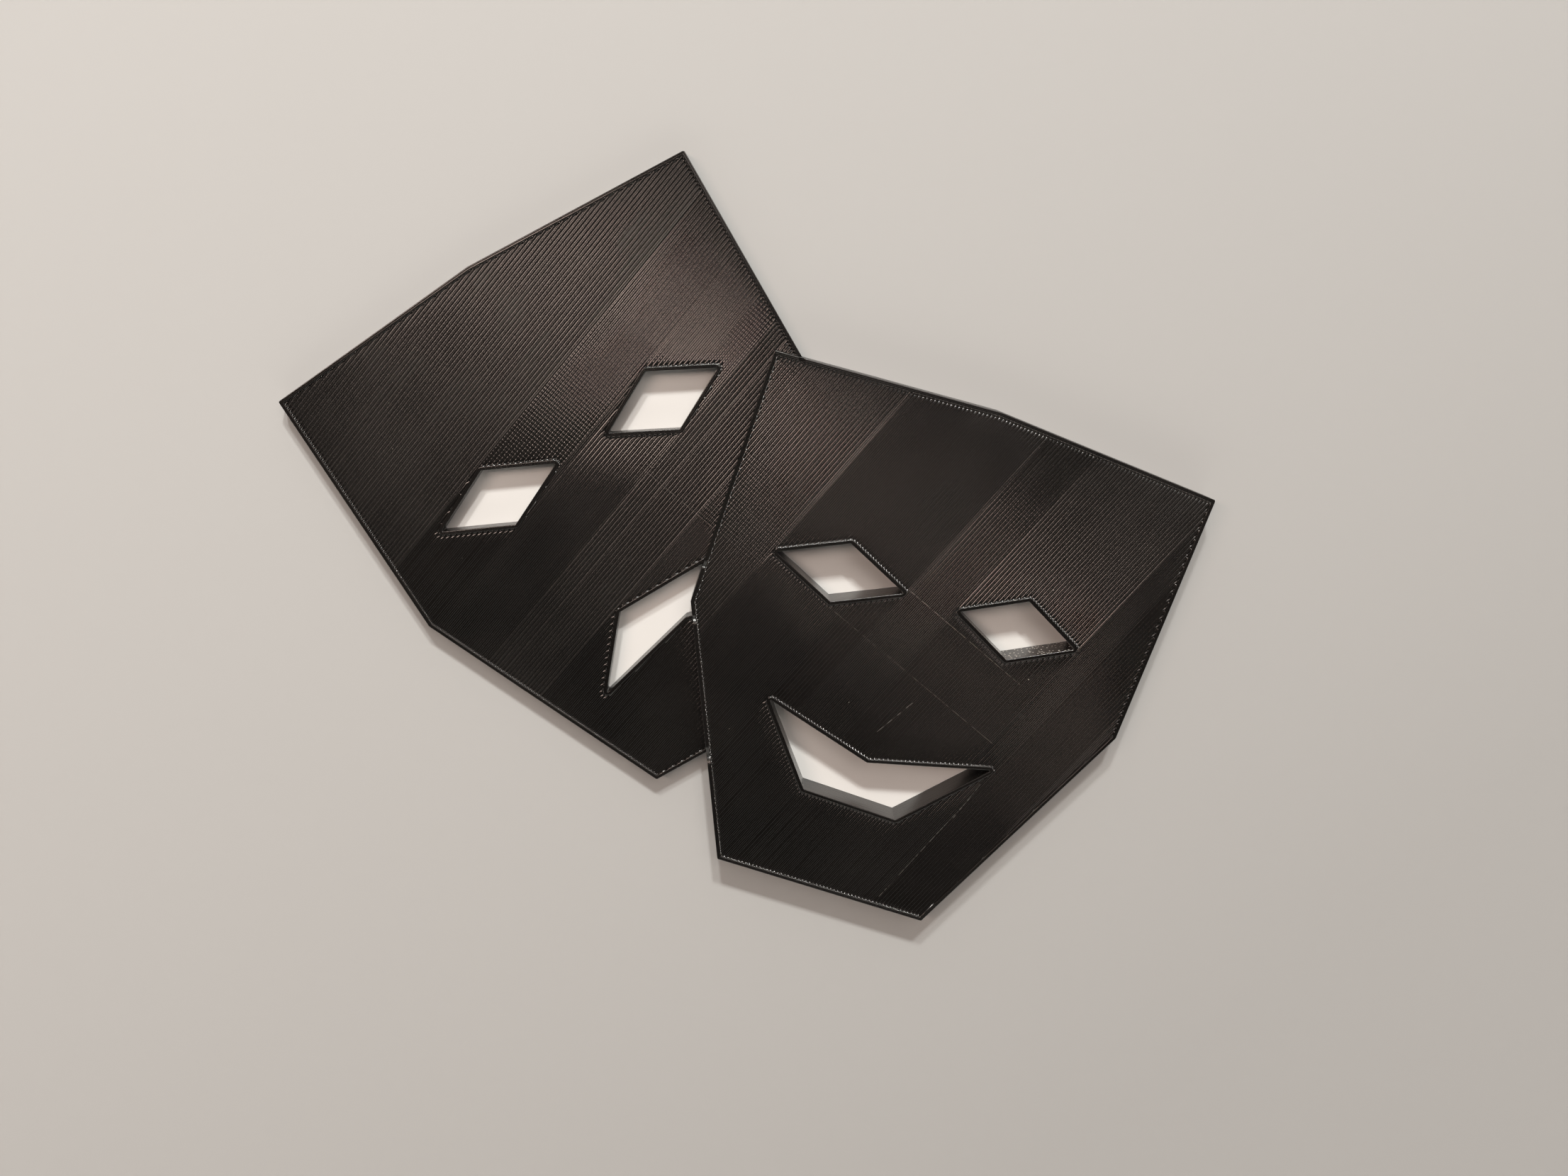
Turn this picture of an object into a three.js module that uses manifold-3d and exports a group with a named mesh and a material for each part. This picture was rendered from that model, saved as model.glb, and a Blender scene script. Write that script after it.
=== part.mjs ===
// Theatre mask wall plaque: a weeping mask and a laughing mask, printed as one flat solid.
//
// Both masks have the same seven-sided outline and rhombic eyes. The weeping mask is the thin
// plate behind, the laughing mask the thick plate in front, and the plates share one flat back.
// Units are millimetres. The plaque is upright, as it is fixed to a wall: +X is to the viewer's
// right, +Z is up, the back lies on the plane y = 0 and the faces look towards -Y. The origin is
// the point of the back where the plaque is held.

import * as THREE from 'three';
import { mergeVertices } from 'three/addons/utils/BufferGeometryUtils.js';
import Module from 'manifold-3d';

const wasm = await Module();
wasm.setup();

// Depth of each plate, from the wall to its face
const TRAGEDY_DEPTH = 4;
const COMEDY_DEPTH = 7;

// Place of each mask on the wall: the bend of its brow, and its lean to the left in degrees
const TRAGEDY_PLACE = { x: -57.3, z: 55.2, lean: 30.2 };
const COMEDY_PLACE = { x: 53.8, z: 25.5, lean: -18.6 };

// Corners of the mask outline, across and down from the bend in the middle of the brow.
// The two halves differ by up to about a millimetre, as they do on the real plaque.
const BROW = [0, 0];
const RIGHT_HALF = { temple: [50.4, 2.9], cheek: [50.5, 60.0], chin: [24.3, 116.1] };
const LEFT_HALF = { temple: [-49.5, 3.0], cheek: [-49.8, 59.7], chin: [-25.6, 115.9] };

// Rhombic eyes: centre across and down, half width and half height
const EYES = [
  { across: -20.9, down: 43.4, halfWidth: 14.7, halfHeight: 6.8 },
  { across: 20.4, down: 43.5, halfWidth: 13.6, halfHeight: 7.0 },
];

// Corners of the mouths, across and down, from the left tip round to the left again
const SMILE = {
  leftTip: [-26.5, 75.6],
  lipBend: [-0.8, 83.0],
  rightTip: [26.7, 75.9],
  lowerRight: [10.0, 94.1],
  lowerLeft: [-12.3, 93.5],
};
const FROWN = {
  leftTip: [-24.5, 92.7],
  upperLeft: [-12.0, 78.2],
  upperRight: [12.0, 77.9],
  rightTip: [24.5, 92.7],
  lipBend: [0.0, 86.5],
};

// The printed line rounds every corner a little
const OUTLINE_RADIUS = 0.4;
const OPENING_RADIUS = 0.2;
const ARC_SEGMENTS = 2;

// How far the prisms that cut the openings run past both faces
const CUT_MARGIN = 2;

const PRINT_COLOR = '#1c1917';
const PRINT_ROUGHNESS = 0.42;

// Turns the drawing plane upright: its second axis becomes +Z and its normal becomes -Y
const UPRIGHT = new THREE.Matrix4().set(
  1, 0, 0, 0,
  0, 0, -1, 0,
  0, 1, 0, 0,
  0, 0, 0, 1,
);

// A closed shape through corners given across and down, each rounded by a tangent arc
function roundedShape(corners, radius) {
  const points = corners.map(([across, down]) => new THREE.Vector2(across, -down));
  const shape = new THREE.Shape();
  points.forEach((point, index) => {
    const back = points.at(index - 1).clone().sub(point).normalize();
    const ahead = points[(index + 1) % points.length].clone().sub(point).normalize();
    const halfAngle = Math.acos(back.dot(ahead)) / 2;
    const bisector = back.clone().add(ahead).normalize();
    const centre = point.clone().addScaledVector(bisector, radius / Math.sin(halfAngle));
    const tangent = radius / Math.tan(halfAngle);
    const arcStart = point.clone().addScaledVector(back, tangent).sub(centre).angle();
    const arcEnd = point.clone().addScaledVector(ahead, tangent).sub(centre).angle();
    const turnsRight = back.cross(ahead) > 0;
    shape.absarc(centre.x, centre.y, radius, arcStart, arcEnd, turnsRight);
  });
  shape.closePath();
  return shape;
}

function maskOutline() {
  const rightSide = [RIGHT_HALF.temple, RIGHT_HALF.cheek, RIGHT_HALF.chin];
  const leftSide = [LEFT_HALF.chin, LEFT_HALF.cheek, LEFT_HALF.temple];
  return roundedShape([BROW, ...rightSide, ...leftSide], OUTLINE_RADIUS);
}

function eyeOpening({ across, down, halfWidth, halfHeight }) {
  const corners = [
    [across - halfWidth, down],
    [across, down - halfHeight],
    [across + halfWidth, down],
    [across, down + halfHeight],
  ];
  return roundedShape(corners, OPENING_RADIUS);
}

function mouthOpening(mouth) {
  return roundedShape(Object.values(mouth), OPENING_RADIUS);
}

// The matrix that carries a mask from its own drawing to its place on the wall
function placeOf({ x, z, lean }) {
  const turn = new THREE.Matrix4().makeRotationZ(THREE.MathUtils.degToRad(lean));
  return turn.setPosition(x, z, 0);
}

// A prism over the shapes, from one distance off the wall to another, as a solid
function prism(shapes, place, from, to) {
  const options = { depth: to - from, bevelEnabled: false, curveSegments: ARC_SEGMENTS };
  const geometry = new THREE.ExtrudeGeometry(shapes, options);
  geometry.translate(0, 0, from);
  geometry.applyMatrix4(place);
  geometry.deleteAttribute('normal');
  geometry.deleteAttribute('uv');
  const merged = mergeVertices(geometry);
  return new wasm.Manifold(new wasm.Mesh({
    numProp: 3,
    vertProperties: merged.attributes.position.array,
    triVerts: new Uint32Array(merged.index.array),
  }));
}

function plate(place, depth) {
  return prism([maskOutline()], place, 0, depth);
}

function cutter(mouth, place) {
  const openings = [...EYES.map(eyeOpening), mouthOpening(mouth)];
  return prism(openings, place, -CUT_MARGIN, COMEDY_DEPTH + CUT_MARGIN);
}

function toGeometry(solid) {
  const { vertProperties, triVerts } = solid.getMesh();
  const geometry = new THREE.BufferGeometry();
  geometry.setAttribute('position', new THREE.BufferAttribute(vertProperties, 3));
  geometry.setIndex(new THREE.BufferAttribute(triVerts, 1));
  return geometry;
}

// The laughing mask is whole where it crosses the weeping one, so its plate closes the right
// end of the frown, and its own openings are cut through both plates
function maskPlaque() {
  const tragedy = placeOf(TRAGEDY_PLACE);
  const comedy = placeOf(COMEDY_PLACE);
  const solid = plate(tragedy, TRAGEDY_DEPTH)
    .subtract(cutter(FROWN, tragedy))
    .add(plate(comedy, COMEDY_DEPTH))
    .subtract(cutter(SMILE, comedy));
  const geometry = toGeometry(solid).applyMatrix4(UPRIGHT);
  geometry.computeVertexNormals();
  const material = new THREE.MeshStandardMaterial({
    color: PRINT_COLOR,
    roughness: PRINT_ROUGHNESS,
    metalness: 0,
  });
  const mesh = new THREE.Mesh(geometry, material);
  mesh.name = 'mask_plaque';
  return mesh;
}

const plaque = new THREE.Group();
plaque.add(maskPlaque());

export default plaque;
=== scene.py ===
"""Looks of the theatre mask wall plaque, printed in black filament.

The solid of the frame is rebuilt as what a printer lays down: walls of thin layers, two rounded
outline lines along every edge, and faces ruled by one zigzag line per field.
Lengths are in millimetres until a mesh is made, and in metres on the stage. +X is to the
viewer's right, +Z is up, the back lies on y = 0 and the faces look towards -Y, as in the frame.
"""
import logging
import math
from collections.abc import Callable, Sequence
from dataclasses import dataclass, field
from enum import Enum
from functools import partial, reduce

import bpy
import numpy as np
from mathutils import Matrix, Vector


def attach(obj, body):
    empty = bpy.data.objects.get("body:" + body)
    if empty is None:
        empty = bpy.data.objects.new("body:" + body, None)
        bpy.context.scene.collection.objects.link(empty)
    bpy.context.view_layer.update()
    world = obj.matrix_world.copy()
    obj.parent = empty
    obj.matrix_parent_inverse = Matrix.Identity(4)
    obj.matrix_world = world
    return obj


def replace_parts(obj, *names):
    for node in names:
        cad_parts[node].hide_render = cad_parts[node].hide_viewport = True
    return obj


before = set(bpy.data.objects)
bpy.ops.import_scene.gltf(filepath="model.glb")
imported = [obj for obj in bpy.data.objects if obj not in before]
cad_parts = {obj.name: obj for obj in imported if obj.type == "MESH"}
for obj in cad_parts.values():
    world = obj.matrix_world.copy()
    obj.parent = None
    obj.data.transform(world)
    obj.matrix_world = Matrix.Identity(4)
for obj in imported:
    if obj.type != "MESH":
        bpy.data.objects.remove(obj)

log = logging.getLogger("mask_plaque")

Pair = tuple[float, float]
Triple = tuple[float, float, float]
Socket = bpy.types.NodeSocket

MILLIMETRE = 0.001
TINY = 1e-9
NO_WALL = -1.0
PLAIN_GLOSS = 0.5
NODE = "mask_plaque"
BODY = "root"

# How the printer laid the filament
LAYER = 0.2
LINE = 0.4
RULING_ANGLE = 49.2
TRAGEDY_DEPTH = 4.0
COMEDY_DEPTH = 7.0


class Side(Enum):
    """On which side of an anticlockwise contour the plastic lies."""

    PLATE = 1
    OPENING = -1


class Facing(Enum):
    """Which way a ruled face looks: out into the room, or at the wall."""

    ROOM = 1
    WALL = -1


def unit(vectors: np.ndarray) -> np.ndarray:
    """Returns the vectors at length one."""
    return vectors / np.maximum(np.linalg.norm(vectors, axis=-1, keepdims=True), TINY)


def left_of(vectors: np.ndarray) -> np.ndarray:
    """Returns the plane vectors turned a quarter turn anticlockwise."""
    return np.stack([-vectors[..., 1], vectors[..., 0]], axis=-1)


def cross(first: np.ndarray, second: np.ndarray) -> np.ndarray:
    """Returns the signed area that two plane vectors span."""
    return first[..., 0] * second[..., 1] - first[..., 1] * second[..., 0]


def within(polygon: np.ndarray, points: np.ndarray) -> np.ndarray:
    """Tells which points a closed polygon holds.

    A point is inside where a ray to its right crosses the polygon's sides an odd number of times.

    Args:
        polygon: Corners, one row each.
        points: Points to test, one row each.

    Returns:
        One truth value for each point.
    """
    start, end = polygon, np.roll(polygon, -1, axis=0)
    x, z = points[:, :1], points[:, 1:]
    crosses = (start[:, 1] > z) != (end[:, 1] > z)
    rise = np.where(end[:, 1] == start[:, 1], 1.0, end[:, 1] - start[:, 1])
    met_at = start[:, 0] + (z - start[:, 1]) * ((end[:, 0] - start[:, 0]) / rise)
    return (crosses & (x < met_at)).sum(axis=1) % 2 == 1


@dataclass(frozen=True)
class Place:
    """Where a mask is on the wall: the bend of its brow, and its lean to the left in degrees."""

    x: float
    z: float
    lean: float

    def on_wall(self, drawn: Sequence[Sequence[float]]) -> np.ndarray:
        """Carries points from the mask's own drawing to the wall.

        Args:
            drawn: Points given across and down from the bend of the brow.

        Returns:
            The same points as x and z.
        """
        across, down = np.asarray(drawn, float).T
        turn = math.radians(self.lean)
        x = self.x + across * math.cos(turn) + down * math.sin(turn)
        z = self.z + across * math.sin(turn) - down * math.cos(turn)
        return np.column_stack([x, z])


@dataclass
class Contour:
    """A closed line of straight sides and rounded corners.

    A spot on it is one number: the whole part names a corner, and the fraction runs over that
    corner's arc first and then along the side that follows.
    """

    corners: np.ndarray
    radius: float
    side: Side
    arc_share: float = 0.1
    least_radius: float = 0.02
    polygon_steps: int = 4

    def __post_init__(self) -> None:
        """Turns the corners anticlockwise and works out the directions of the sides."""
        ahead = np.roll(self.corners, -1, axis=0)
        if cross(self.corners, ahead).sum() < 0:
            self.corners = self.corners[::-1].copy()
            ahead = np.roll(self.corners, -1, axis=0)
        self.leaving = unit(ahead - self.corners)
        self.coming = np.roll(self.leaving, 1, axis=0)
        self.bend = np.arctan2(cross(self.coming, self.leaving), (self.coming * self.leaving).sum(axis=1))

    @property
    def count(self) -> int:
        """How many corners the contour has."""
        return len(self.corners)

    def on_arc(self, corner: np.ndarray, inset: np.ndarray, share: np.ndarray) -> np.ndarray:
        """Returns points on the arcs of corners.

        A corner moves into the plastic by the inset along both sides' normals: corner + inset *
        (n1 + n2) / (1 + n1 . n2). Its arc touches both moved sides, with a radius that shrinks
        by the inset at a corner that bulges and grows at one that is hollow.

        Args:
            corner: Which corners.
            inset: How far into the plastic each point lies.
            share: How far along its arc each point lies, from 0 to 1.

        Returns:
            The points as x and z.
        """
        way = self.side.value
        first, second = way * left_of(self.coming), way * left_of(self.leaving)
        mitre = (first + second) / (1 + (first * second).sum(axis=1, keepdims=True))
        tip = self.corners[corner] + inset[..., None] * mitre[corner]
        bend = self.bend[corner]
        radius = np.maximum(self.radius - way * inset * np.sign(bend), self.least_radius)
        start = tip - self.coming[corner] * (radius * np.tan(np.abs(bend) / 2))[..., None]
        centre = start + left_of(self.coming[corner]) * (radius * np.sign(bend))[..., None]
        turn, arm = bend * share, start - centre
        turned = arm * np.cos(turn)[..., None] + left_of(arm) * np.sin(turn)[..., None]
        return centre + turned

    def at(self, spots: np.ndarray, inset: np.ndarray | float = 0.0) -> np.ndarray:
        """Finds the points at spots of the contour, moved into the plastic by the inset.

        Args:
            spots: Places along the contour.
            inset: How far into the plastic each point lies.

        Returns:
            The points as x and z.
        """
        spots, inset = np.broadcast_arrays(np.asarray(spots, float), np.asarray(inset, float))
        whole = np.floor(spots)
        share = spots - whole
        corner = whole.astype(int) % self.count
        arc = self.on_arc(corner, inset, np.clip(share / self.arc_share, 0, 1))
        begin = self.on_arc(corner, inset, np.ones_like(share))
        end = self.on_arc((corner + 1) % self.count, inset, np.zeros_like(share))
        along = np.clip((share - self.arc_share) / (1 - self.arc_share), 0, 1)[..., None]
        return np.where((share < self.arc_share)[..., None], arc, begin + (end - begin) * along)

    def spots(self, arc_steps: int, side_steps: int) -> np.ndarray:
        """Spreads spots once round the contour.

        Args:
            arc_steps: How many of them lie on each arc.
            side_steps: How many lie on each side.

        Returns:
            The spots, in order.
        """
        arc = np.arange(arc_steps) / arc_steps * self.arc_share
        side = self.arc_share + np.arange(side_steps) / side_steps * (1 - self.arc_share)
        return (np.arange(self.count)[:, None] + np.concatenate([arc, side])).ravel()

    def polygon(self, inset: float = 0.0) -> np.ndarray:
        """Returns the contour as a polygon, moved into the plastic by the inset."""
        return self.at(self.spots(self.polygon_steps, 1), inset)


@dataclass(frozen=True)
class Eye:
    """A rhombic eye: its centre across and down, and half its width and height."""

    across: float
    down: float
    half_width: float
    half_height: float

    def drawn(self) -> list[list[float]]:
        """Returns the four corners, across and down."""
        across, down, wide, high = self.across, self.down, self.half_width, self.half_height
        return [[across - wide, down], [across, down - high], [across + wide, down], [across, down + high]]


@dataclass
class Mask:
    """One mask of the plaque: its name, place and depth, its outline and its openings."""

    name: str
    place: Place
    depth: float
    mouth: tuple[Pair, ...]
    edge_seed: int
    opening_seed: int
    outline_radius: float = 0.4
    opening_radius: float = 0.2
    brow: Pair = (0.0, 0.0)
    right_half: tuple[Pair, ...] = ((50.4, 2.9), (50.5, 60.0), (24.3, 116.1))
    left_half: tuple[Pair, ...] = ((-49.5, 3.0), (-49.8, 59.7), (-25.6, 115.9))
    right_eye: Eye = Eye(20.4, 43.5, 13.6, 7.0)
    left_eye: Eye = Eye(-20.9, 43.4, 14.7, 6.8)

    def outline(self) -> Contour:
        """Returns the seven-sided outline on the wall."""
        drawn = [self.brow, *self.right_half, *self.left_half[::-1]]
        return Contour(self.place.on_wall(drawn), self.outline_radius, Side.PLATE)

    def opening(self, drawn: Sequence[Sequence[float]]) -> Contour:
        """Returns the edge of an opening on the wall."""
        return Contour(self.place.on_wall(drawn), self.opening_radius, Side.OPENING)

    def openings(self) -> dict[str, Contour]:
        """Returns the edges of both eyes and of the mouth, by name."""
        drawn = dict(left_eye=self.left_eye.drawn(), right_eye=self.right_eye.drawn(), mouth=self.mouth)
        return {name: self.opening(corners) for name, corners in drawn.items()}

    def plate(self, inset: float = 0.0) -> np.ndarray:
        """Returns the outline as a polygon, moved inwards by the inset."""
        return self.outline().polygon(inset)

    def holes(self, inset: float = 0.0) -> list[np.ndarray]:
        """Returns the openings as polygons, widened by the inset."""
        return [contour.polygon(inset) for contour in self.openings().values()]


@dataclass
class Area:
    """A part of the wall: plates, each less its own openings, and less what covers them all."""

    plates: list[tuple[np.ndarray, list[np.ndarray]]]
    covers: list[np.ndarray] = field(default_factory=list)

    def polygons(self) -> list[np.ndarray]:
        """Returns every polygon that can bound the area."""
        return [p for plate, holes in self.plates for p in (plate, *holes)] + self.covers

    def holds(self, points: np.ndarray) -> np.ndarray:
        """Tells which points lie in the area.

        Args:
            points: Points to test, one row each.

        Returns:
            One truth value for each point.
        """
        found = np.zeros(len(points), bool)
        for plate, holes in self.plates:
            here = within(plate, points)
            for hole in holes:
                here &= ~within(hole, points)
            found |= here
        for cover in self.covers:
            found &= ~within(cover, points)
        return found


@dataclass
class Shell:
    """Closed surfaces as arrays: points, the corners of all faces, and each face's corner count.

    Each point has its gloss and relief, and each face is flat or shaded smoothly.
    """

    points: np.ndarray
    corners: np.ndarray
    sizes: np.ndarray
    gloss: np.ndarray
    relief: np.ndarray
    flat: np.ndarray

    @staticmethod
    def tube(rows: np.ndarray, joined: bool, gloss: np.ndarray | None = None, relief: float = 0.0,
             flat: Sequence[int] = ()) -> "Shell":
        """Makes the surface through a row of cross-sections.

        Args:
            rows: Points by place along the path and place round the section.
            joined: Whether the last section meets the first. Otherwise both ends are capped.
            gloss: A value from 0 to 1 for each section, kept on its points.
            relief: How far the layer below shows through, from 0 to 1, kept on all points.
            flat: Sides of the section, by number, that aren't shaded smoothly into their neighbours.

        Returns:
            The closed surface.
        """
        along, around = rows.shape[:2]
        index = np.arange(along * around).reshape(along, around)
        here, ahead = (index, np.roll(index, -1, axis=0)) if joined else (index[:-1], index[1:])
        quads = np.stack([here, np.roll(here, -1, axis=1), np.roll(ahead, -1, axis=1), ahead], axis=-1)
        corners, sizes = quads.ravel(), np.full(quads.size // 4, 4)
        plane = np.tile(np.isin(np.arange(around), flat), len(here))
        if not joined:
            corners = np.concatenate([corners, index[0][::-1], index[-1]])
            sizes = np.concatenate([sizes, [around, around]])
            plane = np.concatenate([plane, [True, True]])
        values = np.full(along, PLAIN_GLOSS) if gloss is None else gloss
        shows = np.full(along * around, relief)
        return Shell(rows.reshape(-1, 3), corners, sizes, np.repeat(values, around), shows, plane)

    @staticmethod
    def joined(shells: Sequence["Shell"]) -> "Shell":
        """Puts several surfaces into one, with its faces outwards.

        The volume is a sixth of the sum of (first corner) . (corner x next corner) over all
        faces, and where it is negative every face is turned round.

        Args:
            shells: Closed surfaces that all have the same side outwards.

        Returns:
            One surface of all their faces.
        """
        fields = ("points", "corners", "sizes", "gloss", "relief", "flat")
        points, corners, sizes, gloss, relief, flat = (
            np.concatenate([getattr(shell, name) for shell in shells]) for name in fields)
        counts = [len(shell.points) for shell in shells]
        corners += np.repeat(np.cumsum(counts) - counts, [len(shell.corners) for shell in shells])
        begin = np.cumsum(sizes) - sizes
        following = np.arange(len(corners)) + 1
        following[begin + sizes - 1] = begin
        first = np.repeat(begin, sizes)
        at = points[corners]
        if np.einsum("ij,ij->", at[first], np.cross(at, at[following])) < 0:
            corners, sizes, flat = corners[::-1], sizes[::-1], flat[::-1]
        return Shell(points, corners, sizes, gloss, relief, flat)

    def piece(self, name: str, material: bpy.types.Material) -> bpy.types.Object:
        """Makes the surface a smooth piece of the plaque, in metres, and tells the frame of it.

        Args:
            name: Name of the piece.
            material: Its finish.

        Returns:
            The piece's object.
        """
        mesh = bpy.data.meshes.new(name)
        mesh.vertices.add(len(self.points))
        mesh.vertices.foreach_set("co", (self.points * MILLIMETRE).astype(np.float32).ravel())
        mesh.loops.add(len(self.corners))
        mesh.loops.foreach_set("vertex_index", self.corners.astype(np.int32))
        mesh.polygons.add(len(self.sizes))
        mesh.polygons.foreach_set("loop_start", (np.cumsum(self.sizes) - self.sizes).astype(np.int32))
        mesh.polygons.foreach_set("use_smooth", ~self.flat)
        for label, values in (("line_gloss", self.gloss), ("under_relief", self.relief)):
            kept = mesh.attributes.new(label, "FLOAT", "POINT")
            kept.data.foreach_set("value", values.astype(np.float32))
        mesh.update(calc_edges=True)
        mesh.validate()
        mesh.materials.append(material)
        made = bpy.data.objects.new(name, mesh)
        bpy.context.scene.collection.objects.link(made)
        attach(made, BODY)
        log.info("%s: %d points, %d faces", name, len(self.points), len(self.sizes))
        return made


@dataclass
class LayeredWall:
    """The wall along one contour, of stacked layers, with two outline lines on its face.

    The floor tells at which height the wall starts at given points, or below nought for no wall.
    The sway is how far the layers stand in and out, and the search steps and halvings find the
    places where the floor changes.
    """

    name: str
    contour: Contour
    high: float
    floor: Callable[[np.ndarray], np.ndarray]
    seed: int
    arc_steps: int = 4
    side_steps: int = 22
    search_steps: tuple[int, int] = (6, 240)
    halvings: int = 24
    near: float = 1e-3
    groove: float = 0.008
    sway: float = 0.006
    sway_gain: float = 1.6
    wave_count: int = 5
    wave_range: Pair = (2.0, 17.0)
    most_layers: int = 200

    # Section of a layer as shares of its height, and how deep each of its points lies
    LAYER_SHARES = (0.0, 0.25, 0.5, 0.75)
    LAYER_DEPTHS = (1.0, 0.28, 0.0, 0.28)
    # Top of the rim from its outer edge inwards: inset, and how far below the face
    RIM_INSETS = (0.0, 0.02, 0.08, 0.2, 0.31, 0.39, 0.46, 0.58, 0.71, 0.79, 0.84)
    RIM_DROPS = (0.1, 0.045, 0.012, 0.0, 0.004, 0.02, 0.004, 0.0, 0.006, 0.05, 0.35)
    # Back of the rim from its inner edge outwards: inset, and how far above the lowest level
    FOOT_INSETS = (0.84, 0.79, 0.6, 0.4, 0.2, 0.05)
    FOOT_RISES = (0.35, 0.03, 0.004, 0.018, 0.002, 0.012)

    def profile(self, low: float) -> tuple[np.ndarray, np.ndarray, np.ndarray]:
        """Works out the closed section of the wall.

        Each layer bulges by the groove's depth, highest in its middle. The rim is two rounded
        lines, and the inner side goes straight down to the foot.

        Args:
            low: Height off the wall at which this stretch starts.

        Returns:
            Inset, height, and the layer that each point belongs to, or -1 off the layers.
        """
        layers = int(round((self.high - low) / LAYER)) - 1
        number = np.repeat(np.arange(layers), len(self.LAYER_SHARES))
        height = low + LAYER * (number + np.tile(self.LAYER_SHARES, layers))
        inset = self.groove * np.tile(self.LAYER_DEPTHS, layers)
        top = self.high - np.array(self.RIM_DROPS)
        foot = low + np.array(self.FOOT_RISES)
        return (
            np.concatenate([inset, [self.groove], self.RIM_INSETS, self.FOOT_INSETS]),
            np.concatenate([height, [low + LAYER * layers], top, foot]),
            np.concatenate([number, [layers], np.full(len(top) + len(foot), -1)]),
        )

    def stretches(self) -> list[Triple]:
        """Finds where the wall starts and stops along its contour.

        The floor is read at close spots, and each change of it is narrowed down by halving.

        Returns:
            First spot, last spot and lowest height of each stretch. A wall all the way round has
            its last spot one turn after its first.
        """
        close = self.contour.spots(*self.search_steps)
        level = self.floor(self.contour.at(close))
        change = np.flatnonzero(level != np.roll(level, 1))
        if len(change) == 0:
            return [(0.0, float(self.contour.count), float(level[0]))]
        before = np.roll(level, 1)[change]
        low = np.where(change == 0, close[-1] - self.contour.count, close[change - 1])
        high = close[change].copy()
        for _ in range(self.halvings):
            middle = (low + high) / 2
            same = self.floor(self.contour.at(middle)) == before
            low, high = np.where(same, middle, low), np.where(same, high, middle)
        following = np.roll(high, -1)
        following[-1] += self.contour.count
        found = zip(high, following, level[change])
        return [(float(a), float(b), float(c)) for a, b, c in found if c >= 0]

    def shell(self) -> Shell:
        """Sweeps the section along every stretch, with a slow sway that differs by layer.

        At a spot s of the contour a layer lies further in by sway (1 + gain mean(sin(pi w s / 2
        + p))), held above nought, with the waves w of the wall and the phases p of the layer.

        Returns:
            The closed surfaces of all stretches.
        """
        random = np.random.default_rng(self.seed)
        waves = random.uniform(*self.wave_range, self.wave_count)
        phases = random.uniform(0, 2 * math.pi, (self.most_layers, self.wave_count))
        standard = self.contour.spots(self.arc_steps, self.side_steps)
        turns = np.concatenate([standard - self.contour.count, standard, standard + self.contour.count])
        shells = []
        for first, last, low in self.stretches():
            inset, height, layer = self.profile(low)
            whole = last - first >= self.contour.count - TINY
            inner = turns[(turns > first + self.near) & (turns < last - self.near)]
            spots = np.concatenate([[first], inner] if whole else [[first], inner, [last]])
            angle = spots[:, None, None] * waves * math.pi / 2 + phases[layer]
            drift = self.sway * (1 + np.sin(angle).mean(axis=2) * self.sway_gain) * (layer >= 0)
            flat = self.contour.at(spots[:, None], inset + np.clip(drift, 0, None))
            rows = np.stack([flat[..., 0], np.broadcast_to(-height, flat.shape[:2]), flat[..., 1]], axis=-1)
            shells.append(Shell.tube(rows, whole))
        return Shell.joined(shells)


@dataclass(frozen=True)
class FieldStyle:
    """How the lines of one field lie, with a spot on the wall that tells which field is meant.

    Every line leans by the lean, and neighbours lean apart by the twist. A lean above nought
    faces up and to the left. Two lines that one turn joins lie closer by twice the pairing, so
    that they show as one stripe. The valley is how deep the shoulders of a line fall. The gloss
    runs from 0 for dull to 1 for smooth, and the relief tells how far the crossing lines of the
    layer below show through.
    """

    spot: Pair
    lean: float = 0.0
    twist: float = 0.0
    pairing: float = 0.012
    valley: float = 0.038
    gloss: float = 0.5
    relief: float = 0.2


@dataclass(frozen=True)
class Runs:
    """Straight runs of filament: the number of each one's line, and where it starts and ends."""

    line: np.ndarray
    first: np.ndarray
    last: np.ndarray

    @property
    def forward(self) -> np.ndarray:
        """Which runs are drawn forwards: those on even lines."""
        return self.line % 2 == 0

    def some(self, chosen: np.ndarray) -> "Runs":
        """Returns the runs that the truth values choose."""
        return Runs(self.line[chosen], self.first[chosen], self.last[chosen])


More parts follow.
